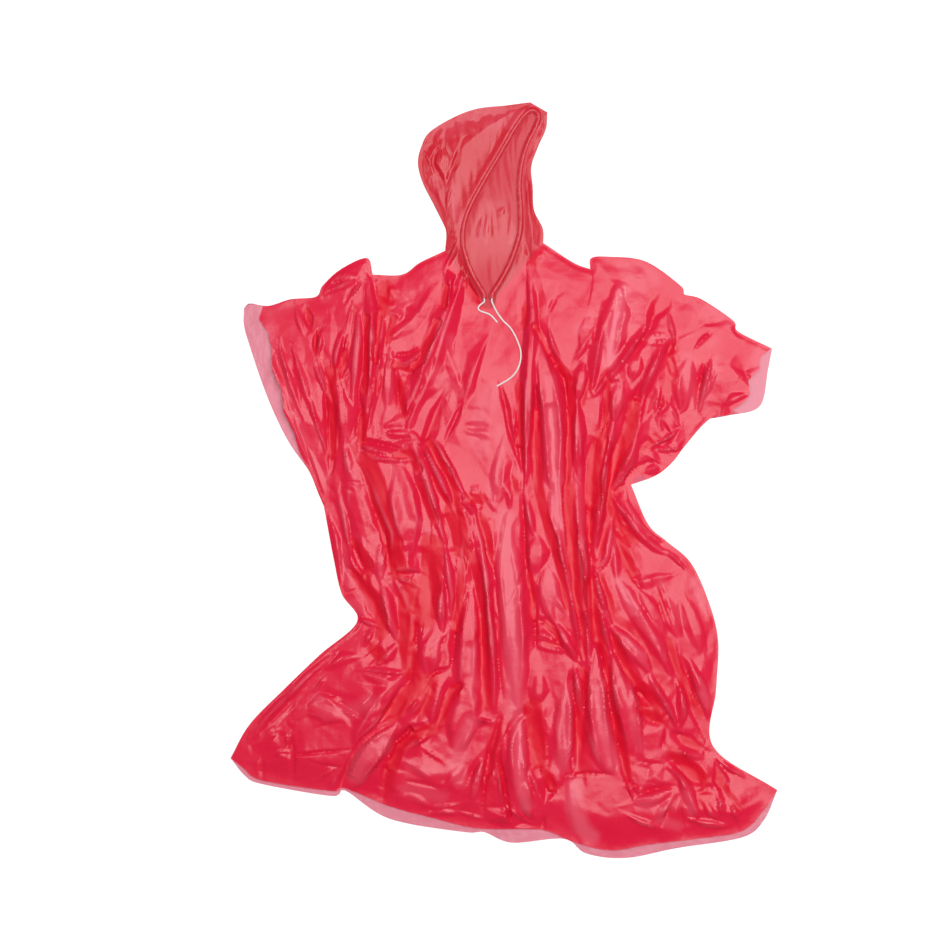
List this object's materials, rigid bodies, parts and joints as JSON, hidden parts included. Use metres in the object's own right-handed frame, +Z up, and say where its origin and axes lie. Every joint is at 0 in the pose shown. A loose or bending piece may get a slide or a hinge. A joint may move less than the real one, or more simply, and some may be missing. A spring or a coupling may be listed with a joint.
{
  "type": "rain poncho",
  "caption": "Hooded rain poncho of thin translucent red film with short sleeves and a white drawstring, laid out flat and crumpled.",
  "frame": {"origin": "on the surface that the poncho lies on, under the middle of its outline", "axes": "+Y towards the hood along the garment, +X to the wearer's left as seen from above, +Z up off the surface"},
  "size_m": [0.82, 1.1322, 0.022],
  "materials": {
    "red_film": "thin translucent polyethylene film, soft gloss, creased; one layer reads pale pink, many layers deep red",
    "red_film_hem": "the same film, folded double over the drawstring",
    "white_cord": "matt braided polyester cord, cut ends"
  },
  "bodies": {
    "root": {"back_panel": "red_film", "front_panel": "red_film", "sleeve_left": "red_film", "sleeve_right": "red_film", "hood_far_half": "red_film", "hood_near_half": "red_film", "hood_casing": "red_film_hem", "drawstring_in_casing": "white_cord", "drawstring_left_end": "white_cord", "drawstring_right_end": "white_cord"}
  },
  "joints": []
}
